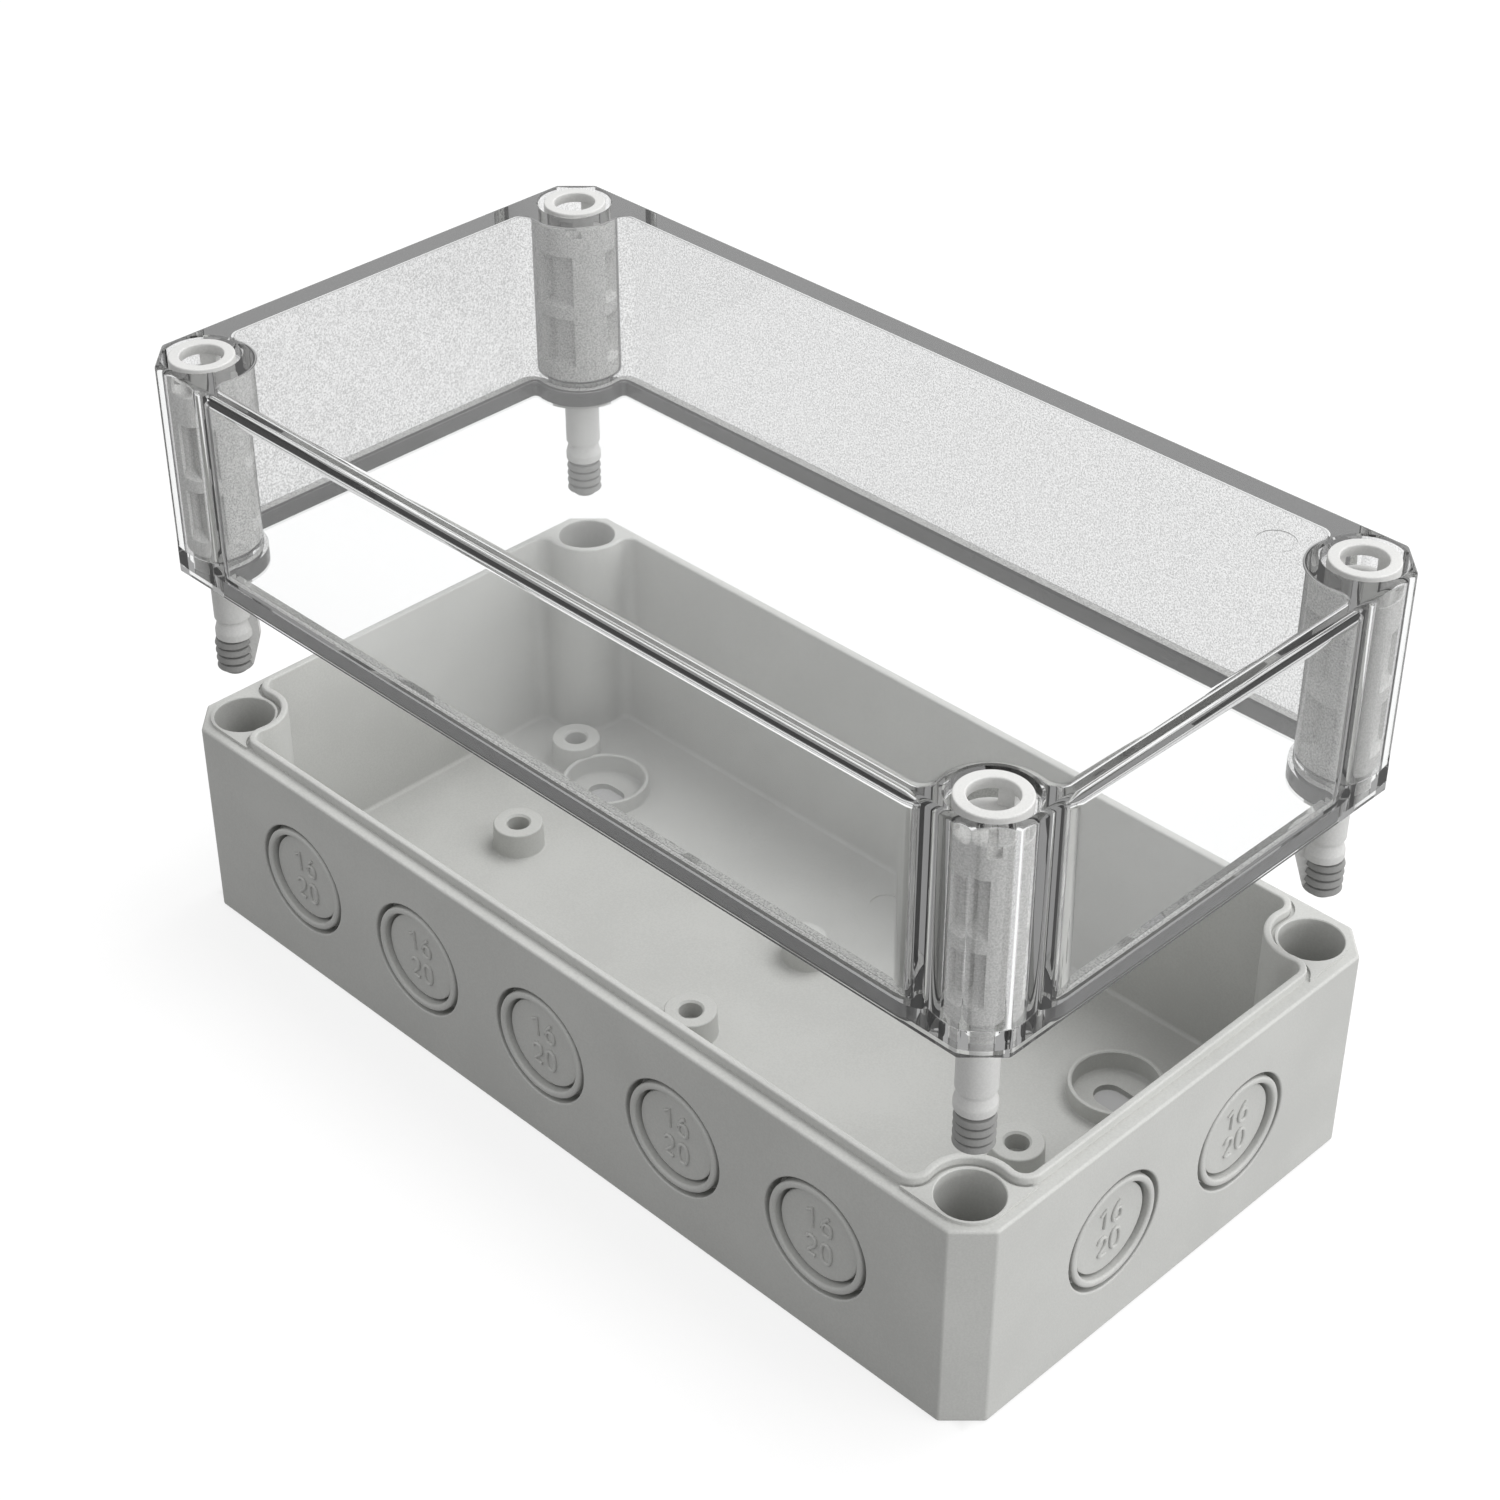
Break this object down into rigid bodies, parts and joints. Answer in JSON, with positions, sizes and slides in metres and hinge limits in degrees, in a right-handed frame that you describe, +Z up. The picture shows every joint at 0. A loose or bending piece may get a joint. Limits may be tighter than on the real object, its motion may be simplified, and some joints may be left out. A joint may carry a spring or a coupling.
{
  "type": "polycarbonate enclosure",
  "caption": "Rectangular wall-mount plastic enclosure: grey base with a sealing rim and knock-out cable entries, under a deep clear lid held by captive corner screws.",
  "frame": {"origin": "on the surface that the base stands on, below the middle of the base", "axes": "+X along the long side, +Y across it from the front to the back, +Z up through the lid"},
  "size_m": [0.18, 0.094, 0.1075],
  "materials": {
    "base_plastic": "light grey, fine moulded texture",
    "lid_clear": "clear polished polycarbonate",
    "seal_rubber": "soft grey foam strip",
    "screw_plastic": "light grey, smooth moulded"
  },
  "bodies": {
    "base": {"base_shell": "base_plastic", "entry_ring_front_1": "base_plastic", "entry_ring_front_2": "base_plastic", "entry_ring_front_3": "base_plastic", "entry_ring_front_4": "base_plastic", "entry_ring_front_5": "base_plastic", "entry_ring_right_1": "base_plastic", "entry_ring_right_2": "base_plastic", "entry_ring_back_1": "base_plastic", "entry_ring_back_2": "base_plastic", "entry_ring_back_3": "base_plastic", "entry_ring_back_4": "base_plastic", "entry_ring_back_5": "base_plastic", "entry_ring_left_1": "base_plastic", "entry_ring_left_2": "base_plastic", "entry_disc_front_1": "base_plastic", "entry_disc_front_2": "base_plastic", "entry_disc_front_3": "base_plastic", "entry_disc_front_4": "base_plastic", "entry_disc_front_5": "base_plastic", "entry_disc_right_1": "base_plastic", "entry_disc_right_2": "base_plastic", "entry_disc_back_1": "base_plastic", "entry_disc_back_2": "base_plastic", "entry_disc_back_3": "base_plastic", "entry_disc_back_4": "base_plastic", "entry_disc_back_5": "base_plastic", "entry_disc_left_1": "base_plastic", "entry_disc_left_2": "base_plastic"},
    "lid": {"lid_shell": "lid_clear", "lid_seal": "seal_rubber"},
    "screw_front_left": {"lid_screw_front_left": "screw_plastic"},
    "screw_front_right": {"lid_screw_front_right": "screw_plastic"},
    "screw_back_right": {"lid_screw_back_right": "screw_plastic"},
    "screw_back_left": {"lid_screw_back_left": "screw_plastic"}
  },
  "joints": [
    {"name": "lid_lift", "type": "slide", "parent": "base", "child": "lid", "axis": [0, 0, 1], "range_m": [-0.03155, 0], "deforming": ["lid_seal"]},
    {"name": "turn_screw_front_left", "type": "hinge", "parent": "lid", "child": "screw_front_left", "pos_m": [-0.0826, -0.0396, 0.09], "axis": [0, 0, 1], "range_deg": [-90, 0]},
    {"name": "turn_screw_front_right", "type": "hinge", "parent": "lid", "child": "screw_front_right", "pos_m": [0.0826, -0.0396, 0.09], "axis": [0, 0, 1], "range_deg": [-90, 0]},
    {"name": "turn_screw_back_right", "type": "hinge", "parent": "lid", "child": "screw_back_right", "pos_m": [0.0826, 0.0396, 0.09], "axis": [0, 0, 1], "range_deg": [-90, 0]},
    {"name": "turn_screw_back_left", "type": "hinge", "parent": "lid", "child": "screw_back_left", "pos_m": [-0.0826, 0.0396, 0.09], "axis": [0, 0, 1], "range_deg": [-90, 0]}
  ]
}
